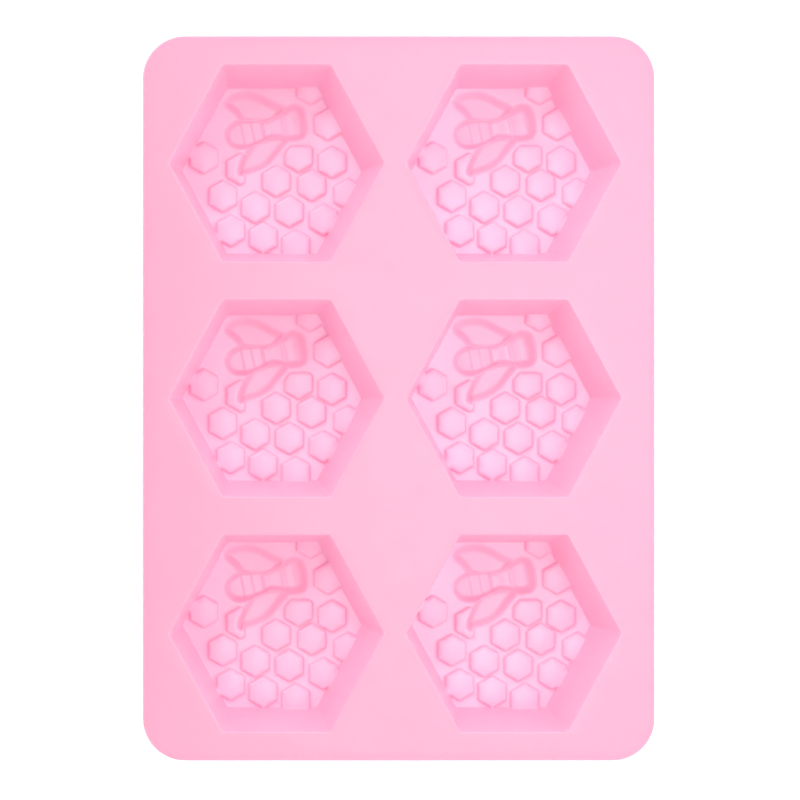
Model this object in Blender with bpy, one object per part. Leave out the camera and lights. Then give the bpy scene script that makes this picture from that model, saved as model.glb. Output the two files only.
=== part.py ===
"""Silicone soap mould: a flat rounded sheet with six six-sided cups, each with a bee on honeycomb in its floor.

The real mould is one moulding of silicone rubber. It is split here only where the rubber flexes: the sheet at
the two webs between its three rows of cups, and the floor of each cup from the wall around it.

Frame: metres, +Z up, X across the width, Y along the length. The origin is the centre of the sheet's outline,
on the plane that the mould stands on. Each row's empty lies on the row's hinge line, and each floor's origin
lies on its cup's axis.
"""

import math

import bmesh
import bpy
from mathutils import Matrix, Vector

MM = 0.001

# The sheet.
LENGTH = 240.0 * MM
WIDTH = 169.4 * MM
HEIGHT = 30.0 * MM
SHEET_THICKNESS = 2.5 * MM
CORNER_RADIUS = 14.0 * MM
CORNER_STEPS = 10
EDGE_ROUNDING = 1.0 * MM
EDGE_STEPS = 3

# The grid of cups. The grid sits a little to the left of the sheet's centre.
PITCH_X = 78.7 * MM
PITCH_Y = 78.0 * MM
GRID_X = -1.2 * MM
ROWS = {"upper": 1, "middle": 0, "lower": -1}

# One cup: half its size across corners (X) and across flats (Y), at the sheet's top and at the floor.
OPENING_HALF = (35.75 * MM, 32.75 * MM)
FLOOR_HALF = (30.9 * MM, 28.45 * MM)
FLOOR_Z = 6.0 * MM
WALL_THICKNESS = 2.0 * MM
CORNER_OVER_FLAT = 1.0 / math.cos(math.radians(30.0))

# Room left between neighbouring solids, and on each side of a hinge line.
GAP = 0.3 * MM
HINGE_GAP = 1.0 * MM

# How far a cutter runs past the surface that it cuts.
OVERCUT = 2.0 * MM

# The honeycomb: raised six-sided cells with a point towards +Y, centred on the cup's axis.
CELL_FLATS_TOP = 9.2 * MM
CELL_FLATS_BASE = 10.0 * MM
CELL_HEIGHT = 2.1 * MM
CELL_CENTRES = (
    (13.2, 28.3),
    (19.2, 16.0),
    (-23.5, 4.5),
    (-10.9, 0.7),
    (9.1, 5.0),
    (20.6, 3.0),
    (1.4, -3.5),
    (13.6, -4.9),
    (26.0, -8.0),
    (-17.0, -8.7),
    (-5.8, -12.5),
    (5.9, -13.9),
    (17.6, -16.7),
    (-14.3, -20.5),
    (-3.1, -23.0),
    (8.1, -25.6),
)

# The bee: oval hollows in the floor, as centre, half length, half width, depth (mm) and turn (degrees).
BEE_HOLLOWS = {
    "upper_wing": ((-6.3, 22.8), 10.2, 4.4, 2.2, -12.0),
    "lower_wing": ((-3.2, 4.4), 10.4, 4.3, 1.3, 36.0),
    "abdomen": ((-8.5, 13.2), 7.8, 4.9, 3.6, 10.0),
    "thorax": ((0.6, 15.4), 4.6, 3.3, 2.8, 80.0),
    "head": ((7.8, 16.8), 5.9, 4.3, 3.2, 80.0),
}
HOLLOW_SEGMENTS = 24
HOLLOW_RINGS = 4

# Colours as display values out of 255.
SHEET_PINK = (253, 197, 224)
WALL_PINK = (254, 180, 212)
FLOOR_PINK = (254, 184, 218)
SILICONE_ROUGHNESS = 0.42


def clear_scene():
    for obj in list(bpy.data.objects):
        bpy.data.objects.remove(obj)


def linear(display_value):
    """A display colour value out of 255 as the linear value that a shader takes."""
    share = display_value / 255.0
    if share <= 0.04045:
        return share / 12.92
    return ((share + 0.055) / 1.055) ** 2.4


def silicone(name, colour):
    """A material for one piece of soft silicone rubber."""
    material = bpy.data.materials.new(name)
    material.use_nodes = True
    shader = material.node_tree.nodes["Principled BSDF"]
    shader.inputs["Base Color"].default_value = (*map(linear, colour), 1.0)
    shader.inputs["Roughness"].default_value = SILICONE_ROUGHNESS
    shader.inputs["Metallic"].default_value = 0.0
    return material


def add_object(name, mesh):
    obj = bpy.data.objects.new(name, mesh)
    bpy.context.scene.collection.objects.link(obj)
    return obj


def mesh_from(name, shape):
    """The finished mesh of a bmesh, with its faces pointing out."""
    bmesh.ops.recalc_face_normals(shape, faces=shape.faces)
    mesh = bpy.data.meshes.new(name)
    shape.to_mesh(mesh)
    shape.free()
    return mesh


def hide_cutter(obj):
    obj.hide_render = True
    obj.display_type = "WIRE"
    return obj


def add_boolean(obj, other, operation):
    modifier = obj.modifiers.new(f"{operation.lower()}_{other.name}", "BOOLEAN")
    modifier.operation = operation
    modifier.object = other
    modifier.solver = "EXACT"


def bridge(shape, ring_a, ring_b):
    """Quads between two rings of vertices that have the same count and direction."""
    count = len(ring_a)
    for i in range(count):
        j = (i + 1) % count
        shape.faces.new((ring_a[i], ring_a[j], ring_b[j], ring_b[i]))


def add_ring(shape, points):
    return [shape.verts.new(point) for point in points]


def add_stack(shape, rings_of_points):
    """A closed solid through a stack of rings, capped at both ends."""
    rings = [add_ring(shape, points) for points in rings_of_points]
    for lower, upper in zip(rings, rings[1:]):
        bridge(shape, lower, upper)
    shape.faces.new(reversed(rings[0]))
    shape.faces.new(rings[-1])


def cup_hexagon(z, grow=0.0):
    """The cup's inside at height z, with its faces moved outwards by grow."""
    share = (z - FLOOR_Z) / (HEIGHT - FLOOR_Z)
    half_x, half_y = (
        floor + share * (opening - floor)
        for floor, opening in zip(FLOOR_HALF, OPENING_HALF)
    )
    half_x += grow * CORNER_OVER_FLAT
    half_y += grow
    corners = ((1, 0), (0.5, 1), (-0.5, 1), (-1, 0), (-0.5, -1), (0.5, -1))
    return [Vector((x * half_x, y * half_y, z)) for x, y in corners]


def cup_solid(name, z_low, z_high, grow=0.0):
    """A solid that fills the cup between two heights."""
    shape = bmesh.new()
    add_stack(shape, (cup_hexagon(z_low, grow), cup_hexagon(z_high, grow)))
    return mesh_from(name, shape)


def rounded_outline(z):
    """The sheet's outline, as straight sides and quarter circles."""
    points = []
    centre_x = WIDTH / 2 - CORNER_RADIUS
    centre_y = LENGTH / 2 - CORNER_RADIUS
    for quarter, (side_x, side_y) in enumerate(((1, 1), (-1, 1), (-1, -1), (1, -1))):
        for step in range(CORNER_STEPS + 1):
            angle = math.radians(90.0 * (quarter + step / CORNER_STEPS))
            x = side_x * centre_x + CORNER_RADIUS * math.cos(angle)
            y = side_y * centre_y + CORNER_RADIUS * math.sin(angle)
            points.append(Vector((x, y, z)))
    return points


def sheet_blank(name):
    """The whole sheet with no openings."""
    shape = bmesh.new()
    add_stack(shape, (rounded_outline(HEIGHT - SHEET_THICKNESS), rounded_outline(HEIGHT)))
    return mesh_from(name, shape)


def box_mesh(name, low, high):
    shape = bmesh.new()
    bmesh.ops.create_cube(shape, size=1.0)
    size = high - low
    bmesh.ops.scale(shape, vec=size, verts=shape.verts)
    bmesh.ops.translate(shape, vec=(low + high) / 2, verts=shape.verts)
    return mesh_from(name, shape)


def row_limits(row):
    """How far one row of the sheet reaches along Y."""
    past_edge = LENGTH / 2 + OVERCUT
    half = PITCH_Y / 2 - HINGE_GAP
    low = -past_edge if row < 0 else row * PITCH_Y - half
    high = past_edge if row > 0 else row * PITCH_Y + half
    return low, high


def row_centre(row):
    return Vector((0.0, row * PITCH_Y, 0.0))


def cup_centre(row, column):
    """The cup's axis where it meets the standing plane. Column 0 is on the left."""
    return row_centre(row) + Vector((GRID_X + (column - 0.5) * PITCH_X, 0.0, 0.0))


def make_row_empty(name, row):
    """The point that the row turns about: on its hinge line, at half the sheet's thickness."""
    empty = bpy.data.objects.new(f"{name}_row", None)
    empty.location = (GRID_X, row * PITCH_Y / 2, HEIGHT - SHEET_THICKNESS / 2)
    bpy.context.scene.collection.objects.link(empty)
    return empty


def attach(obj, parent, place):
    """Puts obj's origin at a place in the world, under its parent empty."""
    obj.parent = parent
    obj.location = place - parent.location


def make_sheet_row(name, row, empty):
    """One row's strip of the sheet, with its two openings."""
    mesh = sheet_blank(f"sheet_{name}")
    mesh.transform(Matrix.Translation(-empty.location))
    sheet = add_object(f"sheet_{name}", mesh)
    sheet.data.materials.append(silicone(sheet.name, SHEET_PINK))
    attach(sheet, empty, empty.location)

    rounding = sheet.modifiers.new("edge_rounding", "BEVEL")
    rounding.width = EDGE_ROUNDING
    rounding.segments = EDGE_STEPS
    rounding.limit_method = "ANGLE"

    y_low, y_high = row_limits(row)
    low = Vector((-WIDTH / 2 - OVERCUT, y_low, HEIGHT - SHEET_THICKNESS - OVERCUT))
    high = Vector((WIDTH / 2 + OVERCUT, y_high, HEIGHT + OVERCUT))
    limits = hide_cutter(add_object(f"{name}_limits", box_mesh(f"{name}_limits", low, high)))
    add_boolean(sheet, limits, "INTERSECT")

    for column in (0, 1):
        cutter_name = f"{name}_opening_{column + 1}"
        mesh = cup_solid(cutter_name, HEIGHT - SHEET_THICKNESS - OVERCUT, HEIGHT + OVERCUT)
        opening = hide_cutter(add_object(cutter_name, mesh))
        opening.location = cup_centre(row, column)
        add_boolean(sheet, opening, "DIFFERENCE")
    return sheet


def wall_mesh():
    """A six-sided tapered tube from the standing plane up to just under the sheet."""
    shape = bmesh.new()
    top = HEIGHT - SHEET_THICKNESS - GAP
    outer_low = add_ring(shape, cup_hexagon(0.0, WALL_THICKNESS))
    outer_high = add_ring(shape, cup_hexagon(top, WALL_THICKNESS))
    inner_high = add_ring(shape, cup_hexagon(top))
    inner_low = add_ring(shape, cup_hexagon(0.0))
    bridge(shape, outer_low, outer_high)
    bridge(shape, outer_high, inner_high)
    bridge(shape, inner_high, inner_low)
    bridge(shape, inner_low, outer_low)
    return mesh_from("cup_wall", shape)


def cell_hexagon(centre, flats, z):
    """One honeycomb cell's outline, with a corner towards +Y."""
    radius = flats / 2 * CORNER_OVER_FLAT
    points = []
    for corner in range(6):
        angle = math.radians(90.0 + 60.0 * corner)
        x = centre[0] * MM + radius * math.cos(angle)
        y = centre[1] * MM + radius * math.sin(angle)
        points.append(Vector((x, y, z)))
    return points


def honeycomb_mesh():
    """All the cells, each a separate tapered solid that starts inside the floor."""
    shape = bmesh.new()
    top = FLOOR_Z + CELL_HEIGHT
    for centre in CELL_CENTRES:
        rings = (
            cell_hexagon(centre, CELL_FLATS_BASE, FLOOR_Z - OVERCUT),
            cell_hexagon(centre, CELL_FLATS_BASE, FLOOR_Z),
            cell_hexagon(centre, CELL_FLATS_TOP, top),
        )
        add_stack(shape, rings)
    return mesh_from("honeycomb", shape)


def hollow_mesh(name, half_length, half_width, depth):
    """An oval cutter: straight sides down to the floor, then a rounded bowl below it."""
    shape = bmesh.new()
    levels = [(1.0, CELL_HEIGHT + OVERCUT)]
    for ring in range(HOLLOW_RINGS):
        angle = math.radians(90.0 * ring / HOLLOW_RINGS)
        levels.append((math.cos(angle), -depth * math.sin(angle)))
    rings = []
    for share, z in levels:
        ring = []
        for step in range(HOLLOW_SEGMENTS):
            turn = 2.0 * math.pi * step / HOLLOW_SEGMENTS
            ring.append(
                Vector(
                    (
                        share * half_length * math.cos(turn),
                        share * half_width * math.sin(turn),
                        z,
                    )
                )
            )
        rings.append(ring)
    add_stack(shape, rings)
    return mesh_from(name, shape)


def make_hollow(name, centre, half_length, half_width, depth, turn):
    mesh = hollow_mesh(name, half_length * MM, half_width * MM, depth * MM)
    hollow = hide_cutter(add_object(name, mesh))
    hollow.location = (centre[0] * MM, centre[1] * MM, FLOOR_Z)
    hollow.rotation_euler.z = math.radians(turn)
    return hollow


def floor_mesh():
    """The floor plate with its honeycomb raised and its bee sunk, as one mesh for all six cups."""
    plate = hide_cutter(add_object("floor_plate", cup_solid("floor_plate", 0.0, FLOOR_Z, -GAP)))
    honeycomb = hide_cutter(add_object("honeycomb", honeycomb_mesh()))
    top = FLOOR_Z + CELL_HEIGHT + OVERCUT
    limits = hide_cutter(add_object("floor_limits", cup_solid("floor_limits", -OVERCUT, top, -GAP)))
    add_boolean(plate, honeycomb, "UNION")
    add_boolean(plate, limits, "INTERSECT")
    for name, hollow in BEE_HOLLOWS.items():
        add_boolean(plate, make_hollow(f"bee_{name}", *hollow), "DIFFERENCE")
    graph = bpy.context.evaluated_depsgraph_get()
    mesh = bpy.data.meshes.new_from_object(plate.evaluated_get(graph))
    mesh.name = "cup_floor"
    mesh.materials.clear()
    return mesh


def make_cup_piece(name, mesh, colour, parent, place):
    """A copy of a cup's mesh as its own object, with its own material."""
    obj = add_object(name, mesh)
    if not mesh.materials:
        mesh.materials.append(None)
    obj.material_slots[0].link = "OBJECT"
    obj.material_slots[0].material = silicone(name, colour)
    attach(obj, parent, place)
    return obj


def make_mould():
    clear_scene()
    walls = wall_mesh()
    floors = floor_mesh()
    number = 0
    for name, row in ROWS.items():
        empty = make_row_empty(name, row)
        make_sheet_row(name, row, empty)
        for column in (0, 1):
            number += 1
            place = cup_centre(row, column)
            make_cup_piece(f"cavity_{number}_wall", walls, WALL_PINK, empty, place)
            make_cup_piece(f"cavity_{number}_floor", floors, FLOOR_PINK, empty, place)


make_mould()
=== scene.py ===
"""Looks of the silicone soap mould: one smooth rubber skin over the flexing regions of the CAD frame.

The real mould is one moulding, so the pieces here meet without a gap: two halves of the sheet, cut along the X
axis, and six cups.
"""

import math

import bmesh
import bpy
import numpy as np
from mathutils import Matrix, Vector
from mathutils.geometry import delaunay_2d_cdt


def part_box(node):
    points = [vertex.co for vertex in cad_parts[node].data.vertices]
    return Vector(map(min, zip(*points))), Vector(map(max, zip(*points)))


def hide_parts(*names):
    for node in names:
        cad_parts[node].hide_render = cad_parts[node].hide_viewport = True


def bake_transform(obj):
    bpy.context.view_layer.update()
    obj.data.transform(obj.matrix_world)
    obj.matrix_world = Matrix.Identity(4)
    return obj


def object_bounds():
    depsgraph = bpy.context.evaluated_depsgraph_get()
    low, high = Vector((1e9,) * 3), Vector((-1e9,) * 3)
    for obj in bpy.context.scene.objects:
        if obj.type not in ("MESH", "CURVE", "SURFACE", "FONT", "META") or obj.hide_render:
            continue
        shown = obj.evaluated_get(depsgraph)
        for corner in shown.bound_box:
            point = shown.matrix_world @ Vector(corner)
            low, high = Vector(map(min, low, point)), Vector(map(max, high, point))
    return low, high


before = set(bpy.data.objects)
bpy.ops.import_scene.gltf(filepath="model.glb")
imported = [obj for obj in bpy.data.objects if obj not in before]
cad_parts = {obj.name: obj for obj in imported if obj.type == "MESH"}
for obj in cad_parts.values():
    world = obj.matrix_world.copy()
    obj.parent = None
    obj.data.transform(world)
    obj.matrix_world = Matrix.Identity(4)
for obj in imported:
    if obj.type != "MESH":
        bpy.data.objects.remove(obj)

CAD_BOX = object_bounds()

MM = 0.001

# One cup in mm, from its own axis: half its size across corners (X) and across flats (Y).
OPENING_HALF = (35.75, 32.75)
FLOOR_HALF = (30.9, 28.45)
CUP_CORNER_RADIUS = 1.3
WALL_THICKNESS = 2.0

# Fillets of a cup in mm: inside at the wall's foot, and outside round the base and under the sheet. The base
# ends in one flat face, which starts this far inside the floor's outline.
FOOT_RADIUS = 0.3
BASE_RADIUS = 2.0
ROOT_RADIUS = 1.5
BASE_RIM = 1.0

# Rounding in mm: the edge of an opening, the edge of the sheet, which stands a little outside the frame's box,
# and the sheet's corners.
RIM_RADIUS = 0.45
EDGE_RADIUS = 0.6
EDGE_FULLNESS = 0.25
CORNER_RADIUS = 14.0

# Honeycomb cells in mm: a domed top and a drafted side, as shares of the height by distance outwards from the
# top's edge.
CELL_APOTHEM = 4.6
CELL_ROUNDING = 0.9
LEAST_CELL_ROUNDING = 0.05
CELL_CROWN = 0.4
CELL_HEIGHT = 2.1
CELL_SIDE = ((-1.2, 1.0), (-0.6, 0.975), (-0.2, 0.9), (0.02, 0.76), (0.3, 0.2), (0.45, 0.07), (0.8, 0.0))
CELL_CENTRES = (
    (13.2, 28.3),
    (19.2, 16.0),
    (-23.5, 4.5),
    (-10.9, 0.7),
    (9.1, 5.0),
    (20.6, 3.0),
    (1.4, -3.5),
    (13.6, -4.9),
    (26.0, -8.0),
    (-17.0, -8.7),
    (-5.8, -12.5),
    (5.9, -13.9),
    (17.6, -16.7),
    (-14.3, -20.5),
    (-3.1, -23.0),
    (8.1, -25.6),
)

# One cell is cut straight below the bee's chest and keeps clear of the lower wing. Another shows only the part
# of it that is left of the wing's tip.
CLIPPED_CELL = 4
CLIPPED_CELL_TOP = 8.4
CELL_WING_CLEARANCE = 1.1
CLEARANCE_PASSES = 4
HIDDEN_CELL = 3
HIDDEN_CELL_RIGHT = -9.6

# The painted highlight along a cell's edge in mm: how far inside the edge its middle is, and its half width.
CELL_HIGHLIGHT_INSET = 0.15
CELL_HIGHLIGHT_WIDTH = 0.25

# The sunken bee in mm: outlines by a few points, and depths by the position along the body.
UPPER_WING = (
    (5.0, 22.0), (0.0, 25.0), (-4.0, 27.1), (-8.0, 28.1), (-11.6, 27.8), (-15.0, 26.7),
    (-17.0, 24.6), (-16.7, 22.3), (-14.8, 20.5), (-13.0, 18.9), (-11.0, 16.0), (-4.0, 15.0),
    (2.0, 16.5),
)
LOWER_WING = (
    (6.4, 10.4), (4.3, 7.6), (2.3, 5.0), (0.2, 2.5), (-2.2, 0.6), (-5.3, -0.8), (-8.4, -1.7),
    (-10.8, -2.5), (-12.5, -1.5), (-12.6, 0.8), (-11.6, 3.6), (-10.0, 6.8), (-7.0, 11.0),
    (0.0, 13.5), (5.0, 13.0),
)
ABDOMEN = (
    (-16.7, 12.6), (-15.9, 9.9), (-13.8, 7.9), (-11.0, 7.2), (-7.6, 7.5), (-4.2, 8.6), (-1.2, 10.1),
    (1.0, 11.6), (1.8, 14.8), (0.8, 17.6), (-1.6, 19.0), (-4.8, 19.3), (-8.5, 19.0), (-12.0, 18.2),
    (-14.6, 16.6), (-16.2, 14.9),
)
HEAD_AND_CHEST = (
    (-5.0, 14.8), (-4.2, 11.6), (-1.8, 10.4), (1.5, 10.3), (5.4, 9.8), (8.8, 10.0), (11.5, 11.0),
    (12.8, 13.2), (12.8, 16.4), (12.1, 19.8), (10.8, 22.6), (8.2, 23.7), (5.8, 23.3), (3.4, 22.0),
    (0.8, 20.7), (-1.8, 19.6), (-4.2, 18.2),
)
UPPER_WING_DEPTH = ((-16.0, 2.1), (5.0, 2.4))
LOWER_WING_DEPTH = ((-12.0, 1.9), (6.0, 2.4))
ABDOMEN_DEPTH = (
    (-14.6, 2.6), (-13.0, 2.9), (-10.2, 3.3), (-9.5, 2.9), (-6.7, 3.3), (-5.9, 2.9), (-3.2, 3.3),
    (-1.9, 2.7), (1.0, 2.7),
)
HEAD_AND_CHEST_DEPTH = (
    (-5.0, 1.6), (-2.2, 2.4), (-0.9, 2.75), (-0.3, 2.6), (2.4, 3.0), (3.9, 3.0), (4.8, 2.6),
    (5.8, 3.0), (8.2, 3.2), (9.8, 3.0), (11.2, 2.5), (13.4, 1.8),
)

# Each part of the bee: its outline, its depth, the width of its sides and how much painted shade it has.
BEE_PARTS = (
    (UPPER_WING, UPPER_WING_DEPTH, 3.4, 0.4),
    (LOWER_WING, LOWER_WING_DEPTH, 3.2, 0.85),
    (ABDOMEN, ABDOMEN_DEPTH, 2.5, 0.25),
    (HEAD_AND_CHEST, HEAD_AND_CHEST_DEPTH, 3.2, 0.2),
)
LOWER_WING_INDEX = 1

# The bands across its body lean, about this level, and have slightly rounded corners.
BAND_LEAN = math.tan(math.radians(12.0))
BAND_LEVEL = 13.0
BAND_ROUNDING = 0.1

# Painted shade on the bee's sides and in the middle of a floor, and that middle's reach and place in mm.
SLOPE_SHADE = 0.22
MIDDLE_SHADE = 0.65
SHADE_REACH = 18.0
SHADE_CENTRE = (4.0, 3.0)

# How much of the cups' painted glow, which stands in for light coming through the thin rubber, the outer side
# of a cup has, where its inner side is 1 and the sheet 0.
OUTSIDE_GLOW = 0.35

# The webs, where the sheet bends, by distance from the X axis in mm.
WEB_BAND = (34.0, 44.0)

# Mesh spacing in mm.
OUTLINE_SPACING = 0.7
FLOOR_SPACING = 1.0
BEE_SPACING = 0.45
RING_SPACING = 1.2
CELL_SPACING = 1.3
SHEET_SPACING = 4.0
WEB_SPACING = 1.6
OUTSIDE_SPACING = 4.0

# Rings of the mesh: levels on a cup's inner wall as shares of its height, offsets in mm from the bee's
# outlines, and angles on the fillets.
WALL_LEVELS = (0.0, 0.12, 0.3, 0.5, 0.7, 0.85, 0.95, 1.0)
BEE_RINGS = (0.15, -0.3, -0.8, -1.3, -1.8, -2.4, -3.0)
FOOT_ANGLES = np.radians((30.0, 60.0))
OUTSIDE_ANGLES = np.radians((0.0, 22.0, 45.0, 68.0, 90.0))

# Steps of the mesh's arcs.
CUP_ARC_STEPS = 5
CELL_ARC_STEPS = 4
SHEET_ARC_STEPS = 12
ROUNDING_STEPS = 5

# Loose points of the mesh in mm: the box round the bee, how far the fine ones reach and where the wide ones
# start outside its outlines, the finer strip to either side of a web's middle, the margins that points keep
# from an edge, and the gaps that they keep from the points that are there before them. Points of a plan that
# are closer than the last value become one.
BEE_BOX = ((-18.0, -4.0), (14.0, 29.0))
FINE_REACH = 0.3
WIDE_START = 0.6
WEB_STRIP = 5.0
FLOOR_MARGIN = 0.3
SHEET_MARGIN = 0.5
FINE_GAP = 0.25
WIDE_GAP = 0.4
SHEET_GAP = 0.8
MERGE_DISTANCE = 1e-5

# Sides that meet more sharply than this aren't shaded as one.
SHARP_ANGLE = math.radians(70)

# Levels taken from the frame, in metres, and the lengths in mm that follow from them.
SHEET_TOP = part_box("sheet_middle")[1].z
SHEET_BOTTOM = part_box("sheet_middle")[0].z
SHEET_THICKNESS = (SHEET_TOP - SHEET_BOTTOM) / MM
FLOOR_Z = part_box("cavity_1_floor")[1].z - CELL_HEIGHT * MM
CUP_DEPTH = (SHEET_TOP - FLOOR_Z) / MM
FLOOR_OVER_BENCH = FLOOR_Z / MM

# Colours of the rubber, as linear red, green and blue: the sheet's own pink; the cups' paler pink, which is a
# painted glow standing in for light coming through their thin rubber; a deeper pink for random mottling and
# for painted shade; and a paler pink for rubbed wear and painted highlights.
SHEET_PINK = (0.985, 0.341, 0.483)
CUP_GLOW_PINK = (0.985, 0.538, 0.716)
MOTTLE_AND_SHADE_PINK = (0.975, 0.30, 0.45)
WEAR_AND_HIGHLIGHT_PINK = (0.985, 0.70, 0.82)

# How translucent the rubber is: its share, the reach of red, green and blue, and that reach's scale.
SUBSURFACE_WEIGHT = 0.25
SUBSURFACE_RADIUS = (1.0, 0.4, 0.55)
SUBSURFACE_SCALE = 0.9 * MM

# Most of the noise texture's values lie in this range.
NOISE_RANGE = (0.3, 0.7)

# The camera: its place in metres, the lens and the sensor in mm, the lens's shift as shares of the picture's
# width, and how near in metres to its own place it keeps that shift.
CAMERA_PLACE = (-83.5 * MM, 3.7 * MM, SHEET_TOP + 639.0 * MM)
LENS_LENGTH = 86.7
SENSOR_WIDTH = 36.0
LENS_SHIFT = (0.316, -0.016)
SHIFT_RANGE = 0.0005

# The stage in metres: the floor's gap under the mould, the floor's half size, and two corners of the black
# card and its height over the camera.
FLOOR_GAP = 0.0005
STAGE_HALF = 3.0
FLAG_CORNERS = ((-0.5, -0.25), (-0.03, 0.25))
FLAG_RISE = 0.03

# The light: the world's strength, and each softbox's name, place, energy in watts and diameter.
WORLD_STRENGTH = 1.03
LIGHTS = (
    ("overhead", (0.0, 0.0, 1.5), 10.8, 1.0),
    ("far_left", (-0.5, 0.8, 0.9), 3.9, 0.6),
    ("right", (0.9, 0.0, 0.7), 1.1, 0.6),
)


def cup_axis(number):
    """The middle of a cup, in metres."""
    low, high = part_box(f"cavity_{number}_wall")
    return (low + high) / 2


# ---------------------------------------------------------------- outlines


def rounded_polygon(corners, radius, arc_steps, spacing):
    """Points round a convex polygon, counter-clockwise, with arcs at its corners and its sides divided."""
    corners = np.array(corners, float)
    count = len(corners)
    outline = []
    for i in range(count):
        before = corners[i - 1] - corners[i]
        after = corners[(i + 1) % count] - corners[i]
        before /= np.linalg.norm(before)
        after /= np.linalg.norm(after)
        half = math.acos(np.clip(before @ after, -1, 1)) / 2
        bisector = (before + after) / np.linalg.norm(before + after)
        centre = corners[i] + bisector * radius / math.sin(half)
        tangent = corners[i] + before * radius / math.tan(half) - centre
        start = math.atan2(tangent[1], tangent[0])
        turn = math.pi - 2 * half
        for step in range(arc_steps + 1):
            angle = start + turn * step / arc_steps
            outline.append(centre + radius * np.array((math.cos(angle), math.sin(angle))))
    return divide_sides(outline, spacing)


def divide_sides(outline, spacing):
    """The same closed outline with no side longer than spacing."""
    points = []
    for i, point in enumerate(outline):
        following = outline[(i + 1) % len(outline)]
        pieces = max(1, math.ceil(np.linalg.norm(following - point) / spacing))
        for k in range(pieces):
            points.append(point + (following - point) * k / pieces)
    return np.array(points)


def hexagon(half_x, half_y):
    """A rounded hexagon with two corners on the X axis."""
    ring = ((1, 0), (0.5, 1), (-0.5, 1), (-1, 0), (-0.5, -1), (0.5, -1))
    corners = [(x * half_x, y * half_y) for x, y in ring]
    return rounded_polygon(corners, CUP_CORNER_RADIUS, CUP_ARC_STEPS, RING_SPACING)


def smooth_outline(points, spacing):
    """A closed Catmull-Rom curve through a few points, counter-clockwise."""
    points = np.array(points, float)
    count = len(points)
    curve = []
    for i in range(count):
        p0, p1, p2, p3 = (points[(i + k) % count] for k in (-1, 0, 1, 2))
        steps = max(2, round(np.linalg.norm(p2 - p1) / spacing))
        for k in range(steps):
            t = k / steps
            cubic = 3 * p1 - p0 - 3 * p2 + p3
            square = 2 * p0 - 5 * p1 + 4 * p2 - p3
            curve.append((2 * p1 + (p2 - p0) * t + square * t**2 + cubic * t**3) / 2)
    curve = np.array(curve)
    x, y = curve.T
    area = np.sum(x * np.roll(y, -1) - np.roll(x, -1) * y)
    return curve if area > 0 else curve[::-1]


def outward_normals(points):
    """Unit normals at the points of a closed outline, on the right-hand side of its direction."""
    along = np.roll(points, -1, 0) - points
    along /= np.linalg.norm(along, axis=1, keepdims=True)
    both = along + np.roll(along, 1, 0)
    both /= np.linalg.norm(both, axis=1, keepdims=True)
    return np.stack((both[:, 1], -both[:, 0]), 1)


def distance_to(outline, points):
    """Signed distance from points to a closed outline, negative inside it."""
    best = np.full(len(points), np.inf)
    inside = np.zeros(len(points), bool)
    for start, end in zip(outline, np.roll(outline, -1, 0)):
        edge = end - start
        offset = points - start
        along = np.clip(offset @ edge / (edge @ edge), 0, 1)
        best = np.minimum(best, np.sum((offset - along[:, None] * edge) ** 2, 1))
        if edge[1] != 0:
            crosses = (start[1] > points[:, 1]) != (end[1] > points[:, 1])
            at = start[0] + (points[:, 1] - start[1]) * edge[0] / edge[1]
            inside ^= crosses & (points[:, 0] < at)
    best = np.sqrt(best)
    return np.where(inside, -best, best)


def away_from(outline, points):
    """Unit directions in which the distance to an outline grows."""
    step = 0.01
    dx = distance_to(outline, points + (step, 0)) - distance_to(outline, points - (step, 0))
    dy = distance_to(outline, points + (0, step)) - distance_to(outline, points - (0, step))
    gradient = np.stack((dx, dy), 1)
    return gradient / np.maximum(np.linalg.norm(gradient, axis=1, keepdims=True), 1e-9)


# ---------------------------------------------------------------- plane meshes


def hex_lattice(low, high, spacing):
    """A triangular lattice of points in a box."""
    points = []
    for k, y in enumerate(np.arange(low[1], high[1], spacing * math.sqrt(3) / 2)):
        shift = spacing / 2 if k % 2 else 0.0
        xs = np.arange(low[0] + shift, high[0], spacing)
        points.append(np.stack((xs, np.full(len(xs), y)), 1))
    return np.concatenate(points)


def clear_of(points, others, gap):
    """The points that are at least gap from all others, found on a grid of cells of that size."""
    taken = {}
    for x, y in others:
        taken.setdefault((int(x // gap), int(y // gap)), []).append((x, y))
    kept = []
    for x, y in points:
        cx, cy = int(x // gap), int(y // gap)
        near = (p for i in (-1, 0, 1) for j in (-1, 0, 1) for p in taken.get((cx + i, cy + j), ()))
        if all((p[0] - x) ** 2 + (p[1] - y) ** 2 > gap * gap for p in near):
            kept.append((x, y))
    return np.array(kept)


class Plan:
    """Points and edges in the plane that a triangle mesh has to follow."""

    def __init__(self):
        self.points = []
        self.edges = []

    def add_line(self, points, closed):
        """Adds a row of points with the edges between them, and back to the first one if closed."""
        first = len(self.points)
        count = len(points)
        self.points.extend(tuple(p) for p in points)
        for k in range(count if closed else count - 1):
            self.edges.append((first + k, first + (k + 1) % count))

    def add_loose(self, points, gap):
        """Adds the points that aren't within gap of one that is already there."""
        self.points.extend(tuple(p) for p in clear_of(points, self.points, gap))

    def triangles(self, keep):
        """(points, triangles) of the constrained Delaunay mesh, where keep() accepts a triangle's centre."""
        flat = [Vector((float(x), float(y))) for x, y in self.points]
        points, _, faces, _, _, _ = delaunay_2d_cdt(flat, self.edges, [], 0, MERGE_DISTANCE)
        points = np.array([tuple(p) for p in points])
        faces = np.array([tuple(f) for f in faces])
        faces = faces[keep(points[faces].mean(1))]
        used, faces = np.unique(faces, return_inverse=True)
        points = points[used]
        faces = faces.reshape(-1, 3)
        a, b, c = (points[faces[:, k]] for k in range(3))
        clockwise = np.cross(b - a, c - a) < 0
        faces[clockwise] = faces[clockwise][:, ::-1]
        return points, faces


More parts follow.
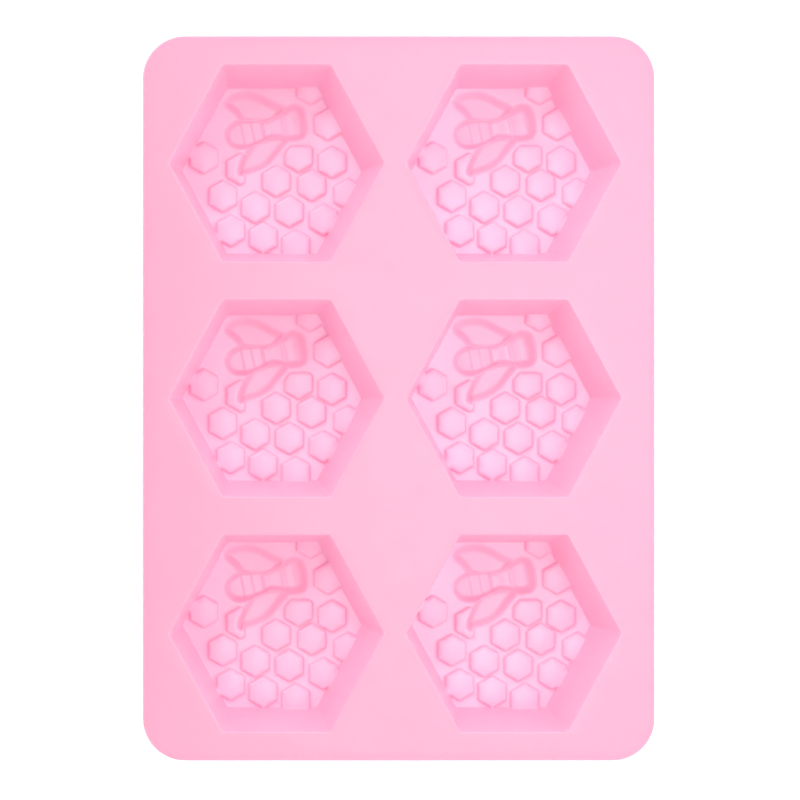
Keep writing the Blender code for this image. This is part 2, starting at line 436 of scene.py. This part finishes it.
def boundary_loops(faces):
    """Ordered loops of the edges that only one triangle uses, in the triangles' own direction."""
    used = {(int(a), int(b)) for f in faces for a, b in zip(f, np.roll(f, -1))}
    following = {a: b for a, b in used if (b, a) not in used}
    loops = []
    while following:
        loop = [min(following)]
        while loop[-1] in following:
            loop.append(following.pop(loop[-1]))
        loops.append(loop[:-1])
    return loops


class Skin:
    """A closed mesh in the making: places in mm, faces, and three masks for the material at each vertex: the
    painted glow, the pale edges of rubbed wear and painted highlight, and the painted shade.
    """

    def __init__(self):
        self.places = []
        self.faces = []
        self.painted_glow = []
        self.wear_and_highlight = []
        self.painted_shade = []

    def add(self, plan, height, painted_glow, wear_and_highlight, painted_shade=0.0):
        """Adds vertices over plan points, and returns their indices."""
        first = len(self.places)
        count = len(plan)
        self.places.extend(zip(plan[:, 0], plan[:, 1], np.broadcast_to(height, count)))
        self.painted_glow.extend(np.broadcast_to(painted_glow, count))
        self.wear_and_highlight.extend(np.broadcast_to(wear_and_highlight, count))
        self.painted_shade.extend(np.broadcast_to(painted_shade, count))
        return list(range(first, first + count))

    def join(self, ring, following):
        """Joins two rings of equally many vertices with four-sided faces."""
        for k in range(len(ring)):
            j = (k + 1) % len(ring)
            self.faces.append((ring[k], ring[j], following[j], following[k]))


# ---------------------------------------------------------------- relief of a cup's floor


def cell_corners(centre, apothem):
    """The corners of a cell, the first one straight up Y from its centre."""
    radius = apothem / math.cos(math.radians(30))
    angles = [math.radians(90 + 60 * k) for k in range(6)]
    return [(centre[0] + radius * math.cos(a), centre[1] + radius * math.sin(a)) for a in angles]


def cell_ring(index, offset, wing):
    """A cell's outline, moved outwards by offset from the edge of its top."""
    radius = max(CELL_ROUNDING + offset, LEAST_CELL_ROUNDING)
    corners = cell_corners(CELL_CENTRES[index], CELL_APOTHEM + offset)
    ring = rounded_polygon(corners, radius, CELL_ARC_STEPS, CELL_SPACING)
    if index == HIDDEN_CELL:
        ring[:, 0] = np.minimum(ring[:, 0], HIDDEN_CELL_RIGHT + offset)
    if index == CLIPPED_CELL:
        ring[:, 1] = np.minimum(ring[:, 1], CLIPPED_CELL_TOP + offset)
        for _ in range(CLEARANCE_PASSES):
            short = np.clip(CELL_WING_CLEARANCE - offset - distance_to(wing, ring), 0, None)
            ring = ring + short[:, None] * away_from(wing, ring)
    return ring


def cell_distance(index, points, wing_distance):
    """Signed distance outwards from the edge of one cell's top."""
    core = np.array(cell_corners(CELL_CENTRES[index], CELL_APOTHEM - CELL_ROUNDING))
    distance = distance_to(core, points) - CELL_ROUNDING
    if index == HIDDEN_CELL:
        distance = np.maximum(distance, points[:, 0] - HIDDEN_CELL_RIGHT)
    if index == CLIPPED_CELL:
        distance = np.maximum(distance, points[:, 1] - CLIPPED_CELL_TOP)
        distance = np.maximum(distance, CELL_WING_CLEARANCE - wing_distance)
    return distance


def honeycomb(points, wing_distance):
    """(height, mask of the painted highlight just inside their tops' edges) of the raised cells over the
    floor, in mm.
    """
    height = np.zeros(len(points))
    edge = np.zeros(len(points))
    for index, centre in enumerate(CELL_CENTRES):
        distance = cell_distance(index, points, wing_distance)
        share = np.interp(distance, *zip(*CELL_SIDE))
        radius = np.hypot(points[:, 0] - centre[0], points[:, 1] - centre[1])
        crown = CELL_CROWN * np.clip(1 - (radius / CELL_APOTHEM) ** 2, 0, 1)
        height = np.maximum(height, share * (CELL_HEIGHT - CELL_CROWN + crown))
        # A painted highlight just inside each cell's edge.
        edge = np.maximum(edge, np.exp(-(((distance + CELL_HIGHLIGHT_INSET) / CELL_HIGHLIGHT_WIDTH) ** 2)))
    return height, edge


def along_bee(points):
    """Position along the bee's body, whose bands lean."""
    return points[:, 0] + BAND_LEAN * (points[:, 1] - BAND_LEVEL)


def part_depth(points, profile):
    """Depth of one part of the bee by the position along the body, with its corners rounded a little."""
    along = along_bee(points)
    shifts = (-BAND_ROUNDING, 0.0, BAND_ROUNDING)
    return np.mean([np.interp(along + shift, *zip(*profile)) for shift in shifts], 0)


def relief(points, outlines):
    """(height, mask of the cells' painted highlight, mask of the painted shade) of the relief, at points from
    the cup's axis.
    """
    distances = [distance_to(outline, points) for outline in outlines]
    ground, edge = honeycomb(points, distances[LOWER_WING_INDEX])
    height = ground.copy()
    # Painted shade in the middle of the floor, in the bee's parts and most of all on their sides.
    off_middle = np.linalg.norm(points - np.array(SHADE_CENTRE), axis=1) / SHADE_REACH
    painted_shade = MIDDLE_SHADE * np.exp(-(off_middle**2))
    for (_, profile, width, part_shade), distance in zip(BEE_PARTS, distances):
        t = np.clip(-distance / width, 0, 1)
        share = t * t * (3 - 2 * t)
        height = np.minimum(height, ground * (1 - share) - part_depth(points, profile) * share)
        edge *= 1 - share
        painted_shade = painted_shade * (1 - share) + part_shade * share + 4 * SLOPE_SHADE * share * (1 - share)
    return height, edge, painted_shade


def band_lines(plan, outline, profile):
    """Adds a mesh line across one part of the bee at each corner of its depth profile."""
    low, high = outline.min(0), outline.max(0)
    for along, _ in profile:
        y = np.arange(low[1], high[1], BEE_SPACING)
        line = np.stack((along - BAND_LEAN * (y - BAND_LEVEL), y), 1)
        line = line[distance_to(outline, line) < -BEE_SPACING]
        if len(line) > 1:
            plan.add_line(line, closed=False)


def floor_mesh(domain, outlines):
    """(points, triangles) of a cup's floor, with lines along every edge of its relief."""
    plan = Plan()
    plan.add_line(domain, closed=True)
    for index in range(len(CELL_CENTRES)):
        for offset, _ in CELL_SIDE:
            plan.add_line(cell_ring(index, offset, outlines[LOWER_WING_INDEX]), closed=True)
    for outline, (_, profile, *_) in zip(outlines, BEE_PARTS):
        for offset in BEE_RINGS:
            plan.add_line(outline + outward_normals(outline) * offset, closed=True)
        if len(profile) > 2:
            band_lines(plan, outline, profile)
    fine = hex_lattice(*BEE_BOX, BEE_SPACING)
    wide = hex_lattice(domain.min(0), domain.max(0), FLOOR_SPACING)
    in_bee = np.min([distance_to(outline, fine) for outline in outlines], 0) < FINE_REACH
    off_bee = np.min([distance_to(outline, wide) for outline in outlines], 0) > WIDE_START
    plan.add_loose(fine[in_bee & (distance_to(domain, fine) < -FLOOR_MARGIN)], FINE_GAP)
    plan.add_loose(wide[off_bee & (distance_to(domain, wide) < -FLOOR_MARGIN)], WIDE_GAP)
    return plan.triangles(lambda centres: distance_to(domain, centres) < 0)


# ---------------------------------------------------------------- cups


def wall_scale(level):
    """How much wider than at floor level the cup is at a level over its floor, along X and Y."""
    grow = np.array(OPENING_HALF) / np.array(FLOOR_HALF) - 1
    return 1 + np.multiply.outer(level / CUP_DEPTH, grow)


def rim_turn():
    """The angle that the rim turns through, from the sheet's top to the drafted wall."""
    draft = math.atan((OPENING_HALF[1] - FLOOR_HALF[1]) / CUP_DEPTH)
    return math.pi / 2 - draft


def rim_reach():
    """Distance from an opening's corner line to where its rounding starts."""
    return RIM_RADIUS * math.tan(rim_turn() / 2)


def seam_level():
    """Level over the floor of the line where the sheet's skin ends and the cup's begins."""
    return CUP_DEPTH - RIM_RADIUS * (1 - math.cos(rim_turn()))


def cup_skin():
    """One cup as one closed skin, from its own axis and the bench."""
    skin = Skin()
    foot = hexagon(*FLOOR_HALF)
    domain = foot - outward_normals(foot) * FOOT_RADIUS
    outlines = [smooth_outline(outline, OUTLINE_SPACING) for outline, *_ in BEE_PARTS]
    plan, faces = floor_mesh(domain, outlines)
    height, edge, painted_shade = relief(plan, outlines)
    loop = max(boundary_loops(faces), key=len)
    normals = outward_normals(plan[loop])
    feet = plan[loop] + normals * FOOT_RADIUS
    base = height[loop]
    plan[loop] = feet * wall_scale(base) - normals * FOOT_RADIUS
    # The floor has the full painted glow, the cells' painted highlight and the painted shade.
    skin.add(plan, height, 1.0, edge, painted_shade)
    skin.faces.extend(map(tuple, faces))
    ring = inside_wall(skin, loop, feet, normals, base)
    outside_wall(skin, ring, feet, normals)
    skin.places = [(x, y, z + FLOOR_OVER_BENCH) for x, y, z in skin.places]
    return skin


def inside_wall(skin, ring, feet, normals, base):
    """The fillet at the foot of the wall and the wall up to the seam, all with the full painted glow."""
    for angle in FOOT_ANGLES:
        level = base + FOOT_RADIUS * (1 - math.cos(angle))
        inset = FOOT_RADIUS * (1 - math.sin(angle))
        fresh = skin.add(feet * wall_scale(level) - normals * inset, level, 1.0, 0.0)
        skin.join(ring, fresh)
        ring = fresh
    lowest = base + FOOT_RADIUS
    for share in WALL_LEVELS:
        level = lowest + (seam_level() - lowest) * share
        fresh = skin.add(feet * wall_scale(level), level, 1.0, 0.0)
        skin.join(ring, fresh)
        ring = fresh
    return ring


def outside_wall(skin, ring, feet, normals):
    """The hidden joint with the sheet, the fillet under it, the wall's outer side and the base."""
    under_sheet = CUP_DEPTH - SHEET_THICKNESS
    bottom = -FLOOR_OVER_BENCH
    rim = feet * wall_scale(CUP_DEPTH)

    def next_ring(places, level, wear_and_highlight=0.0):
        nonlocal ring
        # The outer side of a cup has a share of the painted glow.
        fresh = skin.add(places, level, OUTSIDE_GLOW, wear_and_highlight)
        skin.join(ring, fresh)
        ring = fresh

    def wall_ring(level, offset, wear_and_highlight=0.0):
        next_ring(feet * wall_scale(level) + normals * offset, level, wear_and_highlight)

    next_ring(rim + normals * rim_reach(), seam_level())
    next_ring(rim + normals * rim_reach(), under_sheet)
    for angle in OUTSIDE_ANGLES:
        offset = WALL_THICKNESS + ROOT_RADIUS * (1 - math.sin(angle))
        wall_ring(under_sheet - ROOT_RADIUS * (1 - math.cos(angle)), offset)
    low = bottom + BASE_RADIUS
    for level in np.arange(under_sheet - ROOT_RADIUS - OUTSIDE_SPACING, low + 1.0, -OUTSIDE_SPACING):
        wall_ring(level, WALL_THICKNESS)
    for angle in OUTSIDE_ANGLES:
        inset = BASE_RADIUS * (1 - math.cos(angle))
        level = bottom + BASE_RADIUS * (1 - math.sin(angle))
        wall_ring(level, WALL_THICKNESS - inset, wear_and_highlight=math.sin(2 * angle))
    wall_ring(bottom, -BASE_RIM)
    skin.faces.append(tuple(reversed(ring)))


# ---------------------------------------------------------------- sheet


def opening_outlines():
    """The corner line of each opening, in mm in the frame."""
    rim = hexagon(*FLOOR_HALF) * wall_scale(CUP_DEPTH)
    axes = (cup_axis(number) for number in range(1, 7))
    return [rim + np.array((axis.x, axis.y)) / MM for axis in axes]


def sheet_outline():
    """The sheet's outline in mm, from the frame's box."""
    low = np.array(CAD_BOX[0][:2]) / MM - EDGE_FULLNESS
    high = np.array(CAD_BOX[1][:2]) / MM + EDGE_FULLNESS
    corners = ((high[0], high[1]), (low[0], high[1]), (low[0], low[1]), (high[0], low[1]))
    return rounded_polygon(corners, CORNER_RADIUS, SHEET_ARC_STEPS, SHEET_SPACING)


def sheet_mesh():
    """(points, triangles) of the flat part of the sheet's top, finer over the webs that bend."""
    outline = sheet_outline()
    outer = outline - outward_normals(outline) * EDGE_RADIUS
    holes = [rim + outward_normals(rim) * rim_reach() for rim in opening_outlines()]
    plan = Plan()
    plan.add_line(outer, closed=True)
    for hole in holes:
        plan.add_line(hole, closed=True)
    low, high = outer.min(0), outer.max(0)
    levels = (-np.mean(WEB_BAND), np.mean(WEB_BAND))
    webs = [((low[0], y - WEB_STRIP), (high[0], y + WEB_STRIP)) for y in levels]
    loose = [hex_lattice(*web, WEB_SPACING) for web in webs] + [hex_lattice(low, high, SHEET_SPACING)]

    def on_sheet(points, margin=0.0):
        clear = distance_to(outer, points) < -margin
        for hole in holes:
            clear &= distance_to(hole, points) > margin
        return clear

    for points in loose:
        plan.add_loose(points[on_sheet(points, SHEET_MARGIN)], SHEET_GAP)
    return plan.triangles(on_sheet)


def edge_profile():
    """The sheet's outer edge as (outwards, up) from the flat top's own edge, with a mask for its pale edge,
    which is partly rubbed wear and partly painted highlight.
    """
    rounding = np.radians(np.linspace(0, 90, ROUNDING_STEPS + 1))[1:]
    upper = [(EDGE_RADIUS * math.sin(a), EDGE_RADIUS * (math.cos(a) - 1), math.sin(2 * a)) for a in rounding]
    lower = [(out, -SHEET_THICKNESS - up, wear_and_highlight) for out, up, wear_and_highlight in reversed(upper)]
    return upper + lower


def opening_profile():
    """An opening's rounded edge, down to the cup's seam, then a hidden step back into the cup's wall. Its mask
    brings in the cups' painted glow round the rounding, which shows as a painted highlight along the rim.
    """
    rounding = np.linspace(0, rim_turn(), ROUNDING_STEPS + 1)[1:]
    profile = [(RIM_RADIUS * math.sin(a), RIM_RADIUS * (math.cos(a) - 1), math.sin(a)) for a in rounding]
    return profile + [(0.0, profile[-1][1], 0.0)]


def sheet_skin():
    """The whole sheet as one closed skin with six openings, in mm in the frame."""
    skin = Skin()
    plan, faces = sheet_mesh()
    top = SHEET_TOP / MM
    skin.add(plan, top, 0.0, 0.0)
    skin.add(plan, top - SHEET_THICKNESS, 0.0, 0.0)
    below = len(plan)
    skin.faces.extend(map(tuple, faces))
    skin.faces.extend(tuple(below + face[::-1]) for face in faces)
    loops = boundary_loops(faces)
    outer = max(loops, key=lambda loop: np.ptp(plan[loop][:, 1]))
    for loop in loops:
        normals = outward_normals(plan[loop])
        is_outer = loop is outer
        ring = loop
        for out, up, mask in edge_profile() if is_outer else opening_profile():
            # An opening's rounding fades into the cups' painted glow, a painted highlight along the rim; the
            # sheet's outer edge gets the pale edge mask, which is partly wear and partly painted highlight.
            painted_glow = 0.0 if is_outer else mask
            wear_and_highlight = mask if is_outer else 0.0
            fresh = skin.add(plan[loop] + normals * out, top + up, painted_glow, wear_and_highlight)
            skin.join(fresh, ring)
            ring = fresh
        skin.join([below + index for index in loop], ring)
    return skin


# ---------------------------------------------------------------- materials


class Nodes:
    """Short calls for building a material's nodes."""

    def __init__(self, material):
        material.use_nodes = True
        self.tree = material.node_tree
        self.shader = self.tree.nodes["Principled BSDF"]

    def add(self, kind, inputs, **settings):
        """A new node with its inputs set to values or joined to other nodes' outputs."""
        node = self.tree.nodes.new(kind)
        for name, value in settings.items():
            setattr(node, name, value)
        for name, value in inputs.items():
            self.connect(value, node.inputs[name])
        return node

    def connect(self, value, socket):
        """Sets a socket to a value, or joins another node's output to it."""
        if isinstance(value, bpy.types.NodeSocket):
            self.tree.links.new(value, socket)
        else:
            socket.default_value = value

    def mask(self, name):
        """One of the skin's masks."""
        return self.add("ShaderNodeAttribute", {}, attribute_name=name).outputs["Fac"]

    def noise(self, size_mm, low, high, detail=2.0):
        """Noise with features of about size_mm, mostly from low to high."""
        place = self.add("ShaderNodeTexCoord", {}).outputs["Object"]
        inputs = {"Vector": place, "Scale": 1 / (size_mm * MM), "Detail": detail}
        texture = self.add("ShaderNodeTexNoise", inputs).outputs["Fac"]
        limits = {"From Min": NOISE_RANGE[0], "From Max": NOISE_RANGE[1], "To Min": low, "To Max": high}
        spread = self.add("ShaderNodeMapRange", {"Value": texture, **limits}, clamp=False)
        return spread.outputs["Result"]

    def math(self, operation, a, b):
        """One operation on two values or outputs."""
        node = self.add("ShaderNodeMath", {}, operation=operation)
        self.connect(a, node.inputs[0])
        self.connect(b, node.inputs[1])
        return node.outputs["Value"]

    def mix(self, share, a, b):
        """Colour a going over to colour b. The node's sockets for colours can only be told by number."""
        node = self.add("ShaderNodeMix", {}, data_type="RGBA")
        self.connect(share, node.inputs[0])
        self.connect(a, node.inputs[6])
        self.connect(b, node.inputs[7])
        return node.outputs[2]


def silicone_colour(nodes):
    """Pink with a painted glow in the cups, faint random mottling, pale edges that are partly rubbed wear and
    partly painted highlight, and painted shade in the sunken parts and the middle of a floor.
    """
    # The cups are painted paler: a painted glow for light coming through the thin rubber.
    pink = nodes.mix(nodes.mask("painted_glow"), (*SHEET_PINK, 1), (*CUP_GLOW_PINK, 1))
    # Pale edges: rubbed wear round the base, and painted highlights on the sheet's edge and the cells' edges.
    wear_and_highlight = nodes.math("MULTIPLY", nodes.mask("wear_and_highlight"), nodes.noise(2.5, 0.12, 0.42))
    pink = nodes.mix(wear_and_highlight, pink, (*WEAR_AND_HIGHLIGHT_PINK, 1))
    mottled = nodes.math("ADD", nodes.noise(45.0, 0.02, 0.12), nodes.noise(6.0, 0.0, 0.06))
    # Painted shade and random mottling both deepen the pink.
    painted_shade = nodes.math("MULTIPLY", nodes.mask("painted_shade"), nodes.noise(8.0, 0.35, 0.45))
    return nodes.mix(nodes.math("ADD", painted_shade, mottled), pink, (*MOTTLE_AND_SHADE_PINK, 1))


def silicone_bump(nodes):
    """A slow unevenness of the rubber under a very fine moulded grain."""
    slow_inputs = {"Height": nodes.noise(14.0, 0, 1, detail=1.0), "Distance": 0.1 * MM, "Strength": 0.5}
    slow = nodes.add("ShaderNodeBump", slow_inputs)
    fine_inputs = {"Height": nodes.noise(0.5, 0, 1), "Distance": 0.012 * MM, "Strength": 0.5}
    fine = nodes.add("ShaderNodeBump", {**fine_inputs, "Normal": slow.outputs["Normal"]})
    return fine.outputs["Normal"]


def silicone_material():
    """Satin silicone rubber: a little translucent, painted paler where light would come through thin rubber,
    with an uneven fine skin.
    """
    material = bpy.data.materials.new("silicone")
    nodes = Nodes(material)
    shader = nodes.shader.inputs
    roughness = nodes.math("ADD", nodes.noise(9.0, 0.33, 0.38), nodes.noise(1.2, -0.01, 0.01))
    nodes.connect(silicone_colour(nodes), shader["Base Color"])
    nodes.connect(roughness, shader["Roughness"])
    nodes.connect(silicone_bump(nodes), shader["Normal"])
    shader["Specular IOR Level"].default_value = 0.5
    shader["Subsurface Weight"].default_value = SUBSURFACE_WEIGHT
    shader["Subsurface Radius"].default_value = SUBSURFACE_RADIUS
    shader["Subsurface Scale"].default_value = SUBSURFACE_SCALE
    return material


def floor_material():
    """A white light table with the faintest cloudiness."""
    material = bpy.data.materials.new("floor")
    nodes = Nodes(material)
    shader = nodes.shader.inputs
    tone = nodes.noise(300.0, 0.0, 1.0)
    nodes.connect(nodes.mix(tone, (0.88, 0.88, 0.88, 1), (0.92, 0.92, 0.92, 1)), shader["Base Color"])
    shader["Roughness"].default_value = 0.6
    shader["Emission Color"].default_value = (1, 1, 1, 1)
    shader["Emission Strength"].default_value = 0.35
    return material


def flag_material():
    """Black card."""
    material = bpy.data.materials.new("flag")
    Nodes(material).shader.inputs["Base Color"].default_value = (0.02, 0.02, 0.02, 1)
    return material


# ---------------------------------------------------------------- objects


def add_object(name, data):
    """A new object in the scene."""
    item = bpy.data.objects.new(name, data)
    bpy.context.scene.collection.objects.link(item)
    return item


def add_piece(name, mesh, material):
    """A visible piece of the mould, shaded smoothly."""
    mesh.shade_smooth()
    mesh.set_sharp_from_angle(angle=SHARP_ANGLE)
    mesh.materials.append(material)
    return add_object(name, mesh)


def mesh_of(name, skin, place=(0.0, 0.0)):
    """A Blender mesh of a skin, with its masks as attributes."""
    mesh = bpy.data.meshes.new(name)
    places = np.array(skin.places) * MM + (*place, 0.0)
    mesh.from_pydata(places.tolist(), [], [tuple(int(i) for i in face) for face in skin.faces])
    for mask in ("painted_glow", "wear_and_highlight", "painted_shade"):
        attribute = mesh.attributes.new(mask, "FLOAT", "POINT")
        attribute.data.foreach_set("value", np.array(getattr(skin, mask), np.float32))
    mesh.update()
    return mesh


def half_of(name, mesh, side):
    """The half of a closed mesh at one side of the X axis, closed again. side is +1 for +Y."""
    half = bmesh.new()
    half.from_mesh(mesh)
    geometry = half.verts[:] + half.edges[:] + half.faces[:]
    cut = bmesh.ops.bisect_plane(half, geom=geometry, dist=1e-7, plane_no=(0, -side, 0), clear_outer=True)
    rims = [item for item in cut["geom_cut"] if isinstance(item, bmesh.types.BMEdge)]
    bmesh.ops.edgenet_fill(half, edges=rims)
    bmesh.ops.recalc_face_normals(half, faces=half.faces[:])
    result = bpy.data.meshes.new(name)
    half.to_mesh(result)
    half.free()
    return result


def make_sheet(material):
    """The two halves of the sheet, cut at the X axis, in place of the frame's sheet parts, which are hidden.
    """
    whole = mesh_of("sheet", sheet_skin())
    halves = (
        ("sheet_skin_upper", 1, "upper_row", "sheet_upper"),
        ("sheet_skin_lower", -1, "lower_row", "sheet_lower"),
    )
    for name, side, body, node in halves:
        piece = add_piece(name, half_of(name, whole, side), material)
        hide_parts(node, "sheet_middle")
        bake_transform(piece)
    bpy.data.meshes.remove(whole)


def make_cups(material):
    """The six cups, each at its cup's axis in place of the frame's wall and floor, which are hidden."""
    skin = cup_skin()
    for number in range(1, 7):
        name = f"cup_{number}_skin"
        axis = cup_axis(number)
        cup = add_piece(name, mesh_of(name, skin, (axis.x, axis.y)), material)
        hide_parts(f"cavity_{number}_wall", f"cavity_{number}_floor")
        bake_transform(cup)


# ---------------------------------------------------------------- stage


def follow(driver, name, target, channel):
    """Gives a driver a variable that follows one channel of an object's place or turn in the world."""
    variable = driver.variables.new()
    variable.name = name
    variable.type = "TRANSFORMS"
    variable.targets[0].id = target
    variable.targets[0].transform_type = channel
    variable.targets[0].transform_space = "WORLD_SPACE"


def make_camera():
    """The camera looks straight down, over the sheet's left edge, with its lens shifted to hold the sheet."""
    data = bpy.data.cameras.new("camera")
    data.lens = LENS_LENGTH
    data.sensor_width = SENSOR_WIDTH
    camera = add_object("camera", data)
    camera.location = CAMERA_PLACE
    for name, shift in zip(("shift_x", "shift_y"), LENS_SHIFT):
        shift_in_place(data, name, shift, camera)
    bpy.context.scene.camera = camera


def shift_in_place(data, name, shift, camera):
    """Shifts the lens only while the camera is at its own place, so that a view from elsewhere is centred."""
    setattr(data, name, shift)
    driver = data.driver_add(name).driver
    follow(driver, "x", camera, "LOC_X")
    driver.expression = f"{shift} if abs(x - {CAMERA_PLACE[0]:.4f}) < {SHIFT_RANGE} else 0"


def make_light(name, place, energy, size):
    """A round softbox that faces the object."""
    data = bpy.data.lights.new(name, "AREA")
    data.energy = energy
    data.shape = "DISK"
    data.size = size
    light = add_object(name, data)
    light.location = place
    light.rotation_euler = Vector(place).to_track_quat("Z", "Y").to_euler()


def add_card(name, low, high, level, material):
    """A level rectangle of the stage between two corners."""
    corners = ((low[0], low[1]), (high[0], low[1]), (high[0], high[1]), (low[0], high[1]))
    mesh = bpy.data.meshes.new(name)
    mesh.from_pydata([(x, y, level) for x, y in corners], [], [(0, 1, 2, 3)])
    mesh.materials.append(material)
    card = add_object(name, mesh)
    return card


def lower_under_rows(floor):
    """Keeps the floor under a row of cups that is folded down past it."""
    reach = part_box("cavity_1_wall")[1].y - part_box("sheet_middle")[1].y
    driver = floor.driver_add("location", 2).driver
    follow(driver, "upper", bpy.data.objects["sheet_upper"], "ROT_X")
    follow(driver, "lower", bpy.data.objects["sheet_lower"], "ROT_X")
    driver.expression = f"{-FLOOR_GAP} - {reach:.4f} * sin(max(0, -upper, lower))"


def make_floor():
    """A wide pale floor."""
    low = (-STAGE_HALF, -STAGE_HALF)
    high = (STAGE_HALF, STAGE_HALF)
    floor = add_card("floor", low, high, 0.0, floor_material())
    lower_under_rows(floor)


def make_world():
    """Even white light from all round."""
    world = bpy.data.worlds.new("world")
    world.use_nodes = True
    background = world.node_tree.nodes["Background"].inputs
    background["Color"].default_value = (1, 1, 1, 1)
    background["Strength"].default_value = WORLD_STRENGTH
    bpy.context.scene.world = world


def make_flag():
    """A black card beside the lens, which keeps the sheen off the side of the sheet that is below it."""
    add_card("flag", *FLAG_CORNERS, CAMERA_PLACE[2] + FLAG_RISE, flag_material())


def make_stage():
    """Floor, world and light, with the colours shown as they are."""
    make_floor()
    make_world()
    make_flag()
    for light in LIGHTS:
        make_light(*light)
    bpy.context.scene.view_settings.view_transform = "Standard"


silicone = silicone_material()
make_sheet(silicone)
make_cups(silicone)
make_camera()
make_stage()
